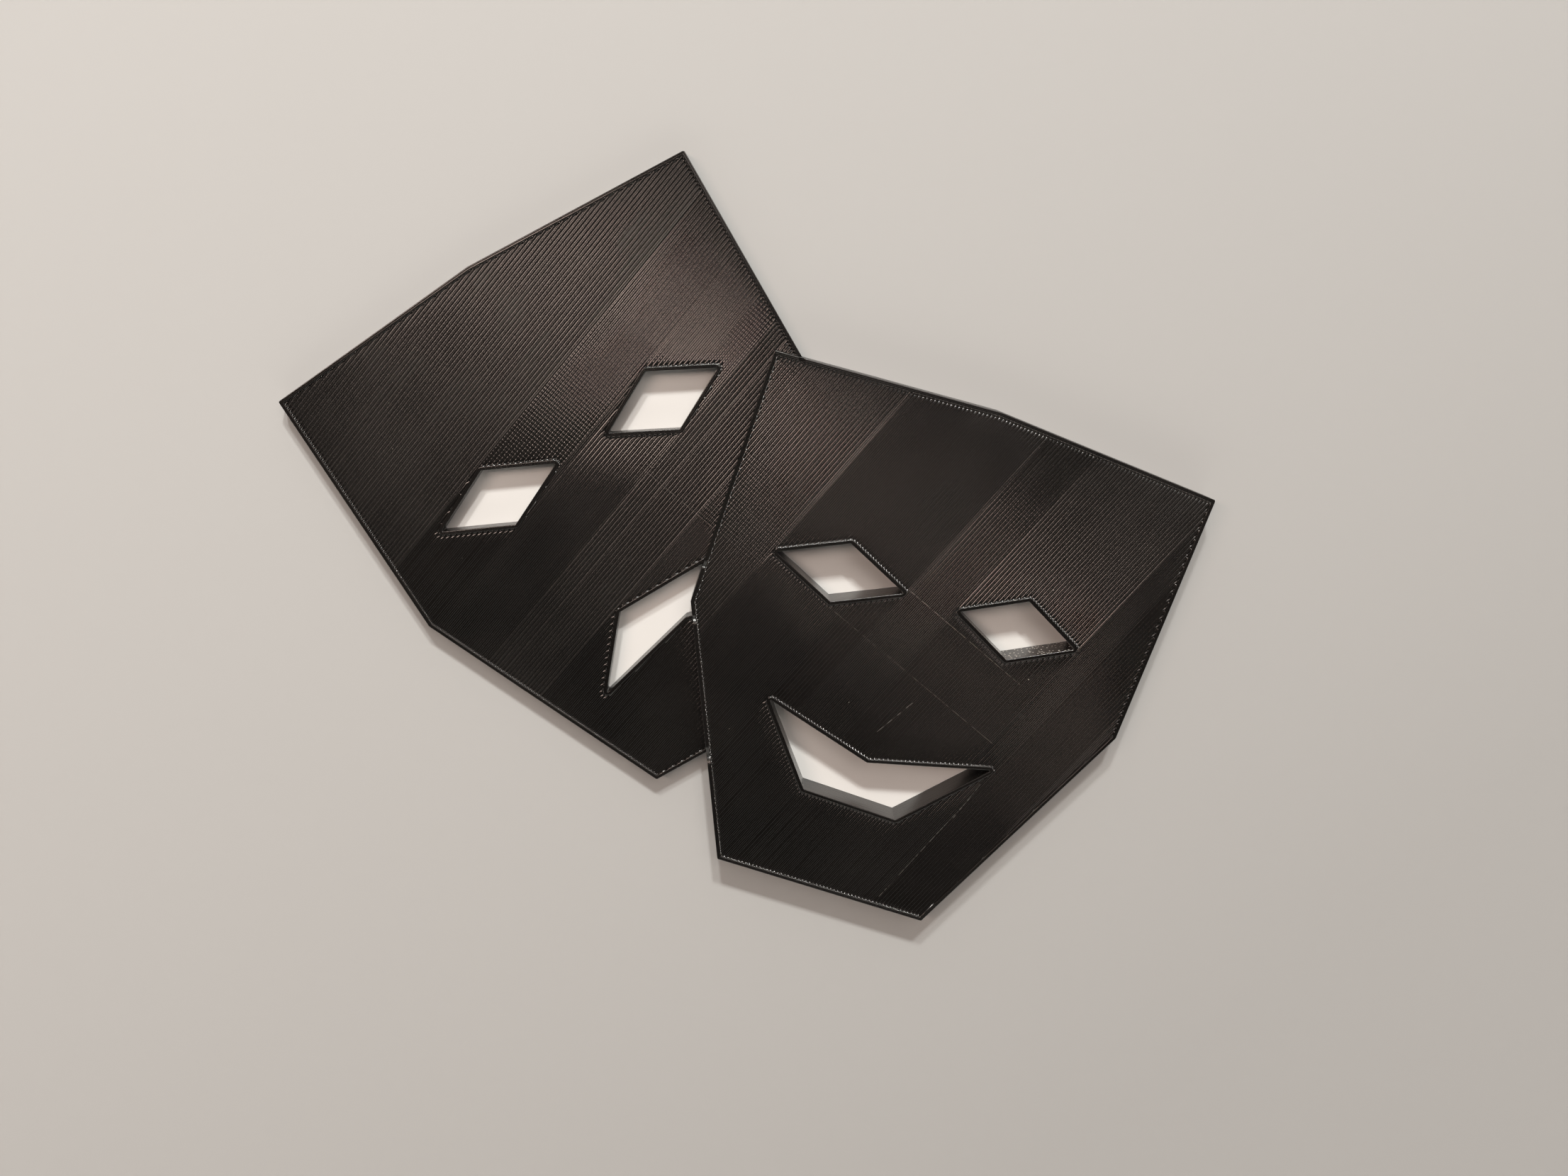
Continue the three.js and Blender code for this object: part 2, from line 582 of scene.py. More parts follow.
@dataclass
class RuledFace:
    """A face ruled by parallel lines, laid as one zigzag for each field of the face.

    A field is a set of lines that follow one another with nothing between them, so an opening
    divides the face into fields, and the seams between them run along the lines. Between the
    turns the lines lie below the rims by the sink. The valley and lean of a turn make its hook
    steep, and the first and last line of a field stand a little higher and lean more.
    """

    name: str
    area: Area
    level: float
    facing: Facing
    styles: tuple[FieldStyle, ...] = ()
    plain: FieldStyle = FieldStyle((0.0, 0.0))
    sink: float = 0.2
    turn_valley: float = 0.13
    turn_lean: float = 0.14
    seam_lift: float = 0.02
    seam_lean: float = 0.02
    gloss_spread: float = 0.15
    sink_spread: float = 0.003
    wander: float = 0.006
    least_mitre: float = 0.55
    few_runs: int = 3
    longest_link: float = 6.0
    shortest_run: float = 0.35
    inner_steps: int = 3
    doublings: int = 12
    seed: int = 5

    # Section of a line: across it from the middle, share of the valley's depth, share of the lean
    ACROSS = (-0.203, -0.2, -0.14, -0.07, 0.0, 0.07, 0.14, 0.2, 0.203)
    DROP = (0.0, 1.0, 0.49, 0.1225, 0.0, 0.1225, 0.49, 1.0, 0.0)
    LEAN = (0.0, -1.0, -0.7, -0.35, 0.0, 0.35, 0.7, 1.0, 0.0)
    ROOT = 0.42
    FLAT = (0, 7, 8)

    # Places of a turn: before the end of the run, at most such a share of it, off its middle, and
    # the share of the sink that they lie below the face where the run ends and where it starts.
    # The last row is how far each place leans as a turn does, where the run ends.
    TURN_BACK = (0.015, 0.09, 0.12, 0.33, 0.45, 1.2)
    TURN_SHARE = (0.03, 0.1, 0.13, 0.3, 0.36, 0.45)
    TURN_OFF = (0.085, 0.0, 0.0, 0.0, 0.0, 0.0)
    END_SINK = (0.0, 0.0, 0.1, 0.9, 0.96, 1.0)
    START_SINK = (0.1, 0.9, 1.0, 1.0, 1.0, 1.0)
    END_LEAN = (1.0, 1.0, 1.0, 1.0, 0.55, 0.0)

    @staticmethod
    def turned(points: np.ndarray, angle: float) -> np.ndarray:
        """Returns plane points turned anticlockwise by an angle in degrees."""
        turn = math.radians(angle)
        return points * math.cos(turn) + left_of(points) * math.sin(turn)

    def runs(self) -> Runs:
        """Cuts evenly spaced lines with the area.

        Each line meets the sides of all polygons, the stretches between neighbouring meetings
        are tested at their middles, and stretches that touch become one run.

        Returns:
            The runs, line by line.
        """
        loops = [self.turned(p, -RULING_ANGLE) for p in self.area.polygons()]
        start = np.concatenate(loops)
        end = np.concatenate([np.roll(p, -1, axis=0) for p in loops])
        lines = np.arange(math.floor(start[:, 1].min() / LINE), math.ceil(start[:, 1].max() / LINE))
        at = (lines[:, None] + 0.5) * LINE
        crosses = (start[:, 1] <= at) != (end[:, 1] <= at)
        rise = np.where(end[:, 1] == start[:, 1], 1.0, end[:, 1] - start[:, 1])
        met = start[:, 0] + (at - start[:, 1]) / rise * (end[:, 0] - start[:, 0])
        met = np.sort(np.where(crosses, met, np.inf), axis=1)[:, : crosses.sum(axis=1).max() + 1]
        left, right = met[:, :-1], met[:, 1:]
        real = np.isfinite(right)
        middle = np.where(real, (left + np.where(real, right, 0)) / 2, 0)
        spots = np.stack([middle, np.broadcast_to(at, middle.shape)], axis=-1).reshape(-1, 2)
        held = self.area.holds(self.turned(spots, RULING_ANGLE)).reshape(middle.shape) & real
        padded = np.pad(held, ((0, 0), (1, 1)))
        begins = held & ~padded[:, :-2]
        stops = held & ~padded[:, 2:]
        found = Runs(lines[np.nonzero(begins)[0]], left[begins], right[stops])
        return found.some(found.last - found.first > self.shortest_run)

    def fields(self, runs: Runs) -> np.ndarray:
        """Groups runs into fields.

        A run goes on to the next line where exactly one run there lies beside it, and where the
        turn between them is short. Each run then takes over the group of the run before it.

        Args:
            runs: All runs of the face.

        Returns:
            The number of each run's field.
        """
        line, first, last = runs.line, runs.first, runs.last
        beside = (line[None, :] == line[:, None] + 1) & (first[None, :] < last[:, None])
        beside &= last[None, :] > first[:, None]
        one_to_one = beside & (beside.sum(axis=1) == 1)[:, None] & (beside.sum(axis=0) == 1)
        here, ahead = np.nonzero(one_to_one)
        gap = np.where(runs.forward[here], last[ahead] - last[here], first[ahead] - first[here])
        short = np.abs(gap) < self.longest_link
        group = np.arange(len(line))
        group[ahead[short]] = here[short]
        for _ in range(self.doublings):
            group = group[group]
        return np.unique(group, return_inverse=True)[1]

    def style_of(self, runs: Runs) -> FieldStyle:
        """Picks the style of a field: the one whose spot lies in it, or the plain one.

        Args:
            runs: The runs of the field.

        Returns:
            The style.
        """
        for style in self.styles:
            along, across = self.turned(np.array(style.spot), -RULING_ANGLE)
            on_line = runs.line == math.floor(across / LINE)
            if (on_line & (runs.first < along) & (runs.last > along)).any():
                return style
        return self.plain

    def path(self, runs: Runs, pairing: float, random: np.random.Generator) -> np.ndarray:
        """Strings the runs of one field into a zigzag.

        Each run has the places of a turn at both ends, and wanders a little between them.

        Args:
            runs: The runs of the field.
            pairing: How far the runs move towards the neighbour that their turn joins them to.
            random: Where the wander comes from.

        Returns:
            Points along and across the ruling, by run and place on the run.
        """
        way = np.where(runs.forward, 1.0, -1.0)[:, None]
        enter = np.where(runs.forward, runs.first, runs.last)[:, None]
        leave = np.where(runs.forward, runs.last, runs.first)[:, None]
        share = np.linspace(0, 1, self.inner_steps + 2)[None, 1:-1]
        length = (runs.last - runs.first)[:, None]
        back = way * np.minimum(np.array(self.TURN_BACK), length * np.array(self.TURN_SHARE))
        off = np.broadcast_to(np.array(self.TURN_OFF), back.shape)
        soft_in, soft_out = enter + back[:, -1:], leave - back[:, -1:]
        inner = soft_in + (soft_out - soft_in) * share
        along = np.hstack([enter + back, inner, leave - back[:, ::-1]])
        across = np.hstack([-off, random.normal(0, self.wander, inner.shape), off[:, ::-1]])
        middle = (runs.line[:, None] + 0.5) * LINE + pairing * way
        return np.stack([along, across + middle], axis=-1)

    def strand(self, runs: Runs, random: np.random.Generator) -> Shell:
        """Sweeps the section of a line along a field's zigzag.

        At a bend the section lies along (n1 + n2) / (1 + n1 . n2), for n1 and n2 the normals
        before and behind it. Its top leans the same way across the ruling on every run, so the
        lean follows how far the section's own left agrees with the ruling's. The highest point
        of a section lies at the face, or sunk below it between the turns.

        Args:
            runs: The runs of the field.
            random: Where the small differences between lines come from.

        Returns:
            The closed surface of the strand.
        """
        style = self.style_of(runs)
        path = self.path(runs, style.pairing, random)
        count, places = path.shape[:2]
        border = np.zeros(count)
        border[[0, -1]] = float(count > self.few_runs)
        lean = style.lean + style.twist * np.where(runs.forward, 1.0, -1.0) + self.seam_lean * border
        gloss = style.gloss + self.gloss_spread * random.uniform(-0.5, 0.5, count)
        flat = path.reshape(-1, 2)
        step = unit(np.diff(flat, axis=0))
        normal = left_of(step)
        before = np.concatenate([normal[:1], normal])
        behind = np.concatenate([normal, normal[-1:]])
        opening = 1 + (before * behind).sum(axis=1, keepdims=True)
        mitre = (before + behind) / np.maximum(opening, self.least_mitre)
        agrees = unit(mitre)[:, 1:]
        across, drop, tilt = np.array(self.ACROSS), np.array(self.DROP), np.array(self.LEAN)
        sides = flat[:, None, :] + mitre[:, None, :] * across[None, :, None]
        valley = np.full((count, places), style.valley)
        valley[:, [0, -1]] = self.turn_valley
        leans = np.repeat(lean[:, None], places, axis=1)
        toward_end = np.array(self.END_LEAN[::-1])
        leans[:, -len(toward_end) :] += toward_end * (self.turn_lean - lean[:, None])
        depth = valley.reshape(-1, 1) * drop + leans.reshape(-1, 1) * tilt * agrees
        depth -= depth.min(axis=1, keepdims=True)
        spread = random.uniform(-self.sink_spread, self.sink_spread, count)
        sunk = np.clip(self.sink + spread - self.seam_lift * border, 0, None)
        share = np.concatenate([self.START_SINK, np.ones(self.inner_steps), self.END_SINK[::-1]])
        depth += (sunk[:, None] * share).reshape(-1, 1)
        depth[:, [0, -1]] = self.ROOT
        turned = self.turned(sides, RULING_ANGLE)
        y = -self.level + self.facing.value * depth
        rows = np.stack([turned[..., 0], y, turned[..., 1]], axis=-1)
        return Shell.tube(rows, False, np.repeat(np.clip(gloss, 0, 1), places), style.relief, self.FLAT)

    def shell(self) -> Shell:
        """Makes the strands of every field.

        Returns:
            Their closed surfaces.
        """
        random = np.random.default_rng(self.seed)
        runs = self.runs()
        field_of = self.fields(runs)
        count = field_of.max() + 1
        log.info("%s: %d runs in %d fields", self.name, len(runs.line), count)
        return Shell.joined([self.strand(runs.some(field_of == number), random) for number in range(count)])


@dataclass
class Core:
    """The solid inside the walls and under the ruled faces, a little smaller than the frame's."""

    name: str = "infill_core"
    wall_inset: float = 0.12
    face_inset: float = 0.36
    back_inset: float = 0.12
    near: float = 1e-3
    least_pull: float = 0.2

    def shell(self) -> Shell:
        """Shrinks the frame's solid.

        Corners of loose triangles that coincide become one point. A point on the walls moves
        against the mean of the walls' normals, weighted by the angle that each face takes up at
        the point. The mean is divided by the square of its own length, which moves every wall by
        the same amount.

        Returns:
            The smaller solid.
        """
        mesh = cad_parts[NODE].data
        raw = np.empty(len(mesh.vertices) * 3, np.float32)
        mesh.vertices.foreach_get("co", raw)
        mesh.calc_loop_triangles()
        triangles = np.empty(len(mesh.loop_triangles) * 3, np.int32)
        mesh.loop_triangles.foreach_get("vertices", triangles)
        rounded = np.round(raw.reshape(-1, 3) / MILLIMETRE, 3)
        points, merged = np.unique(rounded, axis=0, return_inverse=True)
        faces = merged.ravel()[triangles].reshape(-1, 3)
        at = points[faces]
        normal = unit(np.cross(at[:, 1] - at[:, 0], at[:, 2] - at[:, 0]))
        upright = np.abs(normal[:, 1]) < 0.5
        toward_next = unit(np.roll(at, -1, axis=1) - at)
        toward_last = unit(np.roll(at, 1, axis=1) - at)
        angle = np.arccos(np.clip((toward_next * toward_last).sum(axis=2), -1, 1)) * upright[:, None]
        total, pull = np.zeros(len(points)), np.zeros((len(points), 3))
        np.add.at(total, faces, angle)
        np.add.at(pull, faces, angle[..., None] * normal[:, None, :])
        mean = pull / np.maximum(total, TINY)[:, None]
        length = np.linalg.norm(mean, axis=1, keepdims=True)
        step = mean / np.maximum(length, self.least_pull) ** 2 * self.wall_inset
        moved = points - np.where(length > self.least_pull, step, 0)
        on_back = points[:, 1] > -self.near
        moved[:, 1] = points[:, 1] + np.where(on_back, -self.back_inset, self.face_inset)
        gloss, flat = np.full(len(moved), PLAIN_GLOSS), np.ones(len(faces), bool)
        return Shell.joined([Shell(moved, faces.ravel(), np.full(len(faces), 3), gloss, 0 * gloss, flat)])


class Graph:
    """A node tree, with the few moves that build it."""

    MEASURES = ("DOT_PRODUCT", "DISTANCE")
    # The colour sockets of a Mix node, by number
    MIX_FIRST = 6
    MIX_SECOND = 7
    MIX_RESULT = 2

    def __init__(self, tree: bpy.types.NodeTree) -> None:
        """Keeps the tree and empties it."""
        self.tree = tree
        tree.nodes.clear()

    def node(self, kind: str, sockets: dict | None = None, **settings: object) -> bpy.types.Node:
        """Adds a node.

        Args:
            kind: Type of the node.
            sockets: Value or source socket for each input, by name or number.
            settings: Properties of the node.

        Returns:
            The new node.
        """
        made = self.tree.nodes.new(kind)
        for name, value in settings.items():
            setattr(made, name, value)
        for key, value in (sockets or {}).items():
            if isinstance(value, bpy.types.NodeSocket):
                self.tree.links.new(value, made.inputs[key])
            else:
                made.inputs[key].default_value = value
        return made

    def math(self, operation: str, *values: object) -> Socket:
        """Adds a Math node and returns its result."""
        return self.node("ShaderNodeMath", dict(enumerate(values)), operation=operation).outputs[0]

    def product(self, *values: object) -> Socket:
        """Multiplies values, one after the other."""
        return reduce(partial(self.math, "MULTIPLY"), values)

    def vector(self, operation: str, *values: object) -> Socket:
        """Adds a Vector Math node and returns its vector, or its number where it measures one."""
        made = self.node("ShaderNodeVectorMath", dict(enumerate(values)), operation=operation)
        return made.outputs["Value" if operation in self.MEASURES else "Vector"]

    def mix(self, share: Socket, first: object, second: object) -> Socket:
        """Mixes two colours.

        Args:
            share: How much of the second colour shows.
            first: A socket or a plain colour.
            second: A socket or a plain colour.

        Returns:
            The mixed colour.
        """
        shades = [(*shade, 1.0) if isinstance(shade, tuple) else shade for shade in (first, second)]
        sockets = {"Factor": share, self.MIX_FIRST: shades[0], self.MIX_SECOND: shades[1]}
        return self.node("ShaderNodeMix", sockets, data_type="RGBA").outputs[self.MIX_RESULT]

    def remap(self, value: Socket, source: Pair, target: Pair = (0.0, 1.0), kind: str = "LINEAR") -> Socket:
        """Maps a value from one range to another, held inside the second."""
        sockets = {"Value": value, "From Min": source[0], "From Max": source[1],
                   "To Min": target[0], "To Max": target[1]}
        return self.node("ShaderNodeMapRange", sockets, interpolation_type=kind).outputs["Result"]


class EffectGroup:
    """A shader effect that several finishes share, as a node group built once."""

    name = "effect"
    inputs: tuple[tuple[str, str, float], ...] = ()
    outputs: tuple[str, ...] = ()

    @classmethod
    def tree(cls) -> bpy.types.NodeTree:
        """Finds the group's node tree, or builds it the first time.

        Returns:
            The node tree.
        """
        found = bpy.data.node_groups.get(cls.name)
        if found:
            return found
        tree = bpy.data.node_groups.new(cls.name, "ShaderNodeTree")
        tree.interface.new_socket("Vector", in_out="INPUT", socket_type="NodeSocketVector")
        for name, kind, value in cls.inputs:
            socket = tree.interface.new_socket(name, in_out="INPUT", socket_type=kind)
            socket.default_value = value
        for name in cls.outputs:
            tree.interface.new_socket(name, in_out="OUTPUT", socket_type="NodeSocketFloat")
        graph = Graph(tree)
        source = graph.node("NodeGroupInput")
        results = cls.wire(graph, source)
        graph.node("NodeGroupOutput", results)
        return tree

    @classmethod
    def wire(cls, graph: Graph, source: bpy.types.Node) -> dict[str, Socket]:
        """Builds the effect between the group's inputs and outputs.

        Args:
            graph: The group's node tree.
            source: The node that holds the group's inputs.

        Returns:
            A socket for each output of the group.
        """
        raise NotImplementedError

    @classmethod
    def place(cls, graph: Graph, vector: Socket, **values: float) -> bpy.types.Node:
        """Adds the group to a material with the material's own values.

        Args:
            graph: The material's node tree.
            vector: Where on the piece the effect is read.
            values: The group's inputs, by name.

        Returns:
            The group's node.
        """
        made = graph.node("ShaderNodeGroup", node_tree=cls.tree())
        graph.tree.links.new(vector, made.inputs["Vector"])
        for name, value in values.items():
            made.inputs[name.replace("_", " ").title()].default_value = value
        return made


class Mottle(EffectGroup):
    """Slow change of sheen over the plastic, and its fine grain."""

    name = "plastic_mottle"
    inputs = (("Patch Scale", "NodeSocketFloat", 30.0), ("Grain Scale", "NodeSocketFloat", 2500.0))
    outputs = ("Patch", "Grain")
    details = (("Patch", 3.0), ("Grain", 2.0))
    noise_roughness = 0.55

    @classmethod
    def wire(cls, graph: Graph, source: bpy.types.Node) -> dict[str, Socket]:
        """Makes two noises: a broad one with soft patches and a fine one.

        Args:
            graph: The group's node tree.
            source: The node that holds the group's inputs.

        Returns:
            A socket for each output of the group.
        """
        found = {}
        for label, detail in cls.details:
            sockets = {"Vector": source.outputs["Vector"], "Scale": source.outputs[f"{label} Scale"],
                       "Detail": detail, "Roughness": cls.noise_roughness}
            found[label] = graph.node("ShaderNodeTexNoise", sockets).outputs[0]
        return found


@dataclass(frozen=True)
class CalmZone:
    """Where the layer below hardly shows: ranges along and across the ruling, in millimetres."""

    along: Pair
    across: Pair


class UnderLayer(EffectGroup):
    """Crossing lines of the layer below, which press through the ruled faces."""

    name = "under_layer"
    outputs = ("Height",)
    period = 2 * LINE
    calm = 0.9
    zones = (CalmZone((13.7, 60.0), (-18.5, 14.0)), CalmZone((-60.0, -4.5), (-40.0, 36.0)),
             CalmZone((17.0, 60.0), (30.0, 70.0)))

    @classmethod
    def wire(cls, graph: Graph, source: bpy.types.Node) -> dict[str, Socket]:
        """Makes a cosine wave along the ruling, 0.5 + 0.5 cos(2 pi u / period), less in calm zones.

        Args:
            graph: The group's node tree.
            source: The node that holds the group's inputs.

        Returns:
            A socket for each output of the group.
        """
        turn = math.radians(RULING_ANGLE)
        axes = ((math.cos(turn), 0.0, math.sin(turn)), (-math.sin(turn), 0.0, math.cos(turn)))
        along, across = (graph.vector("DOT_PRODUCT", source.outputs["Vector"], axis) for axis in axes)
        wave = graph.math("COSINE", graph.math("MULTIPLY", along, 2 * math.pi / (cls.period * MILLIMETRE)))
        height = graph.math("MULTIPLY_ADD", wave, 0.5, 0.5)
        for zone in cls.zones:
            held = []
            for place, (low, high) in ((along, zone.along), (across, zone.across)):
                middle, half = (low + high) / 2 * MILLIMETRE, (high - low) / 2 * MILLIMETRE
                held.append(graph.math("COMPARE", place, middle, half))
            height = graph.product(height, graph.math("MULTIPLY_ADD", graph.product(*held), -cls.calm, 1.0))
        return {"Height": height}


@dataclass(frozen=True)
class Mark:
    """A straight mark on a face: both ends as x and z, and half its width, in millimetres."""

    start: Pair
    end: Pair
    width: float = 0.12

    def line(self) -> tuple[Vector, Vector]:
        """Returns where the mark starts and how it runs on from there, in metres."""
        start, end = (Vector((x, 0.0, z)) * MILLIMETRE for x, z in (self.start, self.end))
        return start, end - start


class FaceMarks(EffectGroup):
    """Straight marks on the faces: scratches, and painted highlights along seams of the layer below."""

    name = "face_marks"
    outputs = ("Mask",)
    marks: tuple[Mark, ...] = ()
    behind: float = -3.5
    break_scale: float = 900.0
    break_range: Pair = (0.4, 0.6)
    faintest: float = 0.25

    @classmethod
    def wire(cls, graph: Graph, source: bpy.types.Node) -> dict[str, Socket]:
        """Takes the strongest mark, and breaks it up with a noise.

        For a mark from p along d, with t = (x - p) . d / (d . d) held from 0 to 1, the distance
        is the length of (x - p) - t d, and the mark fades from its middle to its half width.
        Nothing further back than the weeping mask's face has marks.

        Args:
            graph: The group's node tree.
            source: The node that holds the group's inputs.

        Returns:
            A socket for each output of the group.
        """
        spot = source.outputs["Vector"]
        flat = graph.vector("MULTIPLY", spot, (1.0, 0.0, 1.0))
        strongest = 0.0
        for mark in cls.marks:
            start, span = mark.line()
            offset = graph.vector("SUBTRACT", flat, start)
            share = graph.remap(graph.vector("DOT_PRODUCT", offset, span / span.length_squared), (0.0, 1.0))
            nearest = graph.node("ShaderNodeVectorMath", {0: span, "Scale": share}, operation="SCALE")
            away = graph.vector("DISTANCE", offset, nearest.outputs[0])
            near = graph.remap(away, (0.0, mark.width * MILLIMETRE), (1.0, 0.0))
            strongest = graph.math("MAXIMUM", strongest, near)
        noise = graph.node("ShaderNodeTexNoise", {"Vector": spot, "Scale": cls.break_scale}).outputs[0]
        depth = graph.node("ShaderNodeSeparateXYZ", {0: spot}).outputs["Y"]
        in_front = graph.math("LESS_THAN", depth, cls.behind * MILLIMETRE)
        broken = graph.remap(noise, cls.break_range, (cls.faintest, 1.0))
        return {"Mask": graph.product(strongest, broken, in_front)}


class Scratches(FaceMarks):
    """Where something has scraped the faces."""

    name = "scratches"
    marks = (
        Mark((36.9, -38.5), (28.7, -45.6)),
        Mark((50.4, -61.4), (29.9, -86.0)),
        Mark((52.4, -58.4), (46.2, -67.0)),
    )


class SeamHighlights(FaceMarks):
    """Painted highlights where fields of the layer below meet, in line with corners of the openings."""

    name = "under_layer_seam_highlights"
    marks = (
        Mark((34.9, -12.7), (60.5, -34.8), 0.1),
        Mark((17.3, -16.3), (54.7, -48.5), 0.08),
        Mark((-30.3, 20.2), (-7.6, 0.6), 0.08),
    )


class Dust(EffectGroup):
    """Scattered pale specks, each a small round in one cell of a grid of random points."""

    name = "dust_specks"
    inputs = (("Scale", "NodeSocketFloat", 300.0), ("Share", "NodeSocketFloat", 0.1),
              ("Size", "NodeSocketFloat", 0.1))
    outputs = ("Mask",)

    @classmethod
    def wire(cls, graph: Graph, source: bpy.types.Node) -> dict[str, Socket]:
        """Shows a cell's speck where its random number is below the share.

        Args:
            graph: The group's node tree.
            source: The node that holds the group's inputs.

        Returns:
            A socket for each output of the group.
        """
        sockets = {"Vector": source.outputs["Vector"], "Scale": source.outputs["Scale"]}
        cells = graph.node("ShaderNodeTexVoronoi", sockets)
        near = graph.math("LESS_THAN", cells.outputs["Distance"], source.outputs["Size"])
        pick = graph.node("ShaderNodeSeparateColor", {0: cells.outputs["Color"]})
        chosen = graph.math("LESS_THAN", pick.outputs[0], source.outputs["Share"])
        return {"Mask": graph.math("MULTIPLY", near, chosen)}


@dataclass(frozen=True)
class BlackFilament:
    """Finish of the printed plastic: near black and warm, glossy where the line is smooth."""

    name: str
    color: Triple = (0.003, 0.0025, 0.0022)
    worn_color: Triple = (0.0055, 0.0046, 0.004)
    worn_range: Pair = (0.35, 0.65)
    patch_scale: float = 35.0
    patch_range: Pair = (0.3, 0.7)
    patch_roughness: Pair = (-0.04, 0.04)
    roughness: float = 0.24
    roughness_spread: float = 0.1
    dulling: float = 0.25
    refraction: float = 1.5
    specular: float = 0.7
    grain: float = 0.000003
    grain_scale: float = 3000.0
    under_layer: float = 0.00001
    dust_share: float = 0.06
    dust_size: float = 0.035
    dust_scale: float = 450.0
    dust_on_top: bool = False
    upward_range: Pair = (0.5, 0.7)
    dust_color: Triple = (0.4, 0.37, 0.33)
    mark_color: Triple = (0.08, 0.072, 0.066)
    # Painted highlight along the seams of the layer below
    seam_highlight_color: Triple = (0.075, 0.066, 0.06)

    def dust(self, graph: Graph, spot: Socket) -> Socket:
        """Places the dust, everywhere or only on what faces up.

        Args:
            graph: The material's node tree.
            spot: Where on the piece the dust is read.

        Returns:
            The mask of the specks.
        """
        specks = Dust.place(graph, spot, scale=self.dust_scale, share=self.dust_share, size=self.dust_size)
        if not self.dust_on_top:
            return specks.outputs["Mask"]
        normal = graph.node("ShaderNodeNewGeometry").outputs["Normal"]
        upward = graph.node("ShaderNodeSeparateXYZ", {0: normal}).outputs["Z"]
        return graph.product(specks.outputs["Mask"], graph.remap(upward, self.upward_range))

    def bump(self, graph: Graph, grain: Socket, below: Socket) -> Socket:
        """Presses the grain and the layer below into the surface.

        Args:
            graph: The material's node tree.
            grain: Height of the grain.
            below: Height of the layer below, where it shows.

        Returns:
            The bumped normal.
        """
        normal = {}
        for height, distance in ((grain, self.grain), (below, self.under_layer)):
            sockets = {"Height": height, "Distance": distance, "Strength": 1.0, **normal}
            normal = {"Normal": graph.node("ShaderNodeBump", sockets).outputs[0]}
        return normal["Normal"]

    def material(self) -> bpy.types.Material:
        """Builds the material from the shared effects and from the gloss and relief of each line.

        Returns:
            The material.
        """
        made = bpy.data.materials.new(self.name)
        made.use_nodes = True
        graph = Graph(made.node_tree)
        spot = graph.node("ShaderNodeTexCoord").outputs["Object"]
        mottle = Mottle.place(graph, spot, patch_scale=self.patch_scale, grain_scale=self.grain_scale)
        patch, grain = mottle.outputs["Patch"], mottle.outputs["Grain"]
        dust = self.dust(graph, spot)
        scraped = Scratches.place(graph, spot).outputs["Mask"]
        seam = SeamHighlights.place(graph, spot).outputs["Mask"]
        tone = graph.mix(graph.remap(patch, self.worn_range), self.color, self.worn_color)
        # The seam mask paints a highlight along seams of the layer below; scratches and dust are the
        # plastic's own marks
        for mask, shade in ((seam, self.seam_highlight_color), (scraped, self.mark_color), (dust, self.dust_color)):
            tone = graph.mix(mask, tone, shade)
        line = graph.node("ShaderNodeAttribute", attribute_name="line_gloss").outputs["Fac"]
        ends = (self.roughness + self.roughness_spread, self.roughness - self.roughness_spread)
        by_patch = graph.remap(patch, self.patch_range, self.patch_roughness)
        dull = graph.product(graph.math("MAXIMUM", dust, scraped), self.dulling)
        rough = graph.math("ADD", graph.math("ADD", graph.remap(line, (0.0, 1.0), ends), by_patch), dull)
        shows = graph.node("ShaderNodeAttribute", attribute_name="under_relief").outputs["Fac"]
        below = graph.product(UnderLayer.place(graph, spot).outputs["Height"], shows)
        sockets = {"Base Color": tone, "Roughness": rough, "Normal": self.bump(graph, grain, below),
                   "IOR": self.refraction, "Specular IOR Level": self.specular}
        shader = graph.node("ShaderNodeBsdfPrincipled", sockets)
        graph.node("ShaderNodeOutputMaterial", {"Surface": shader.outputs[0]})
        return made


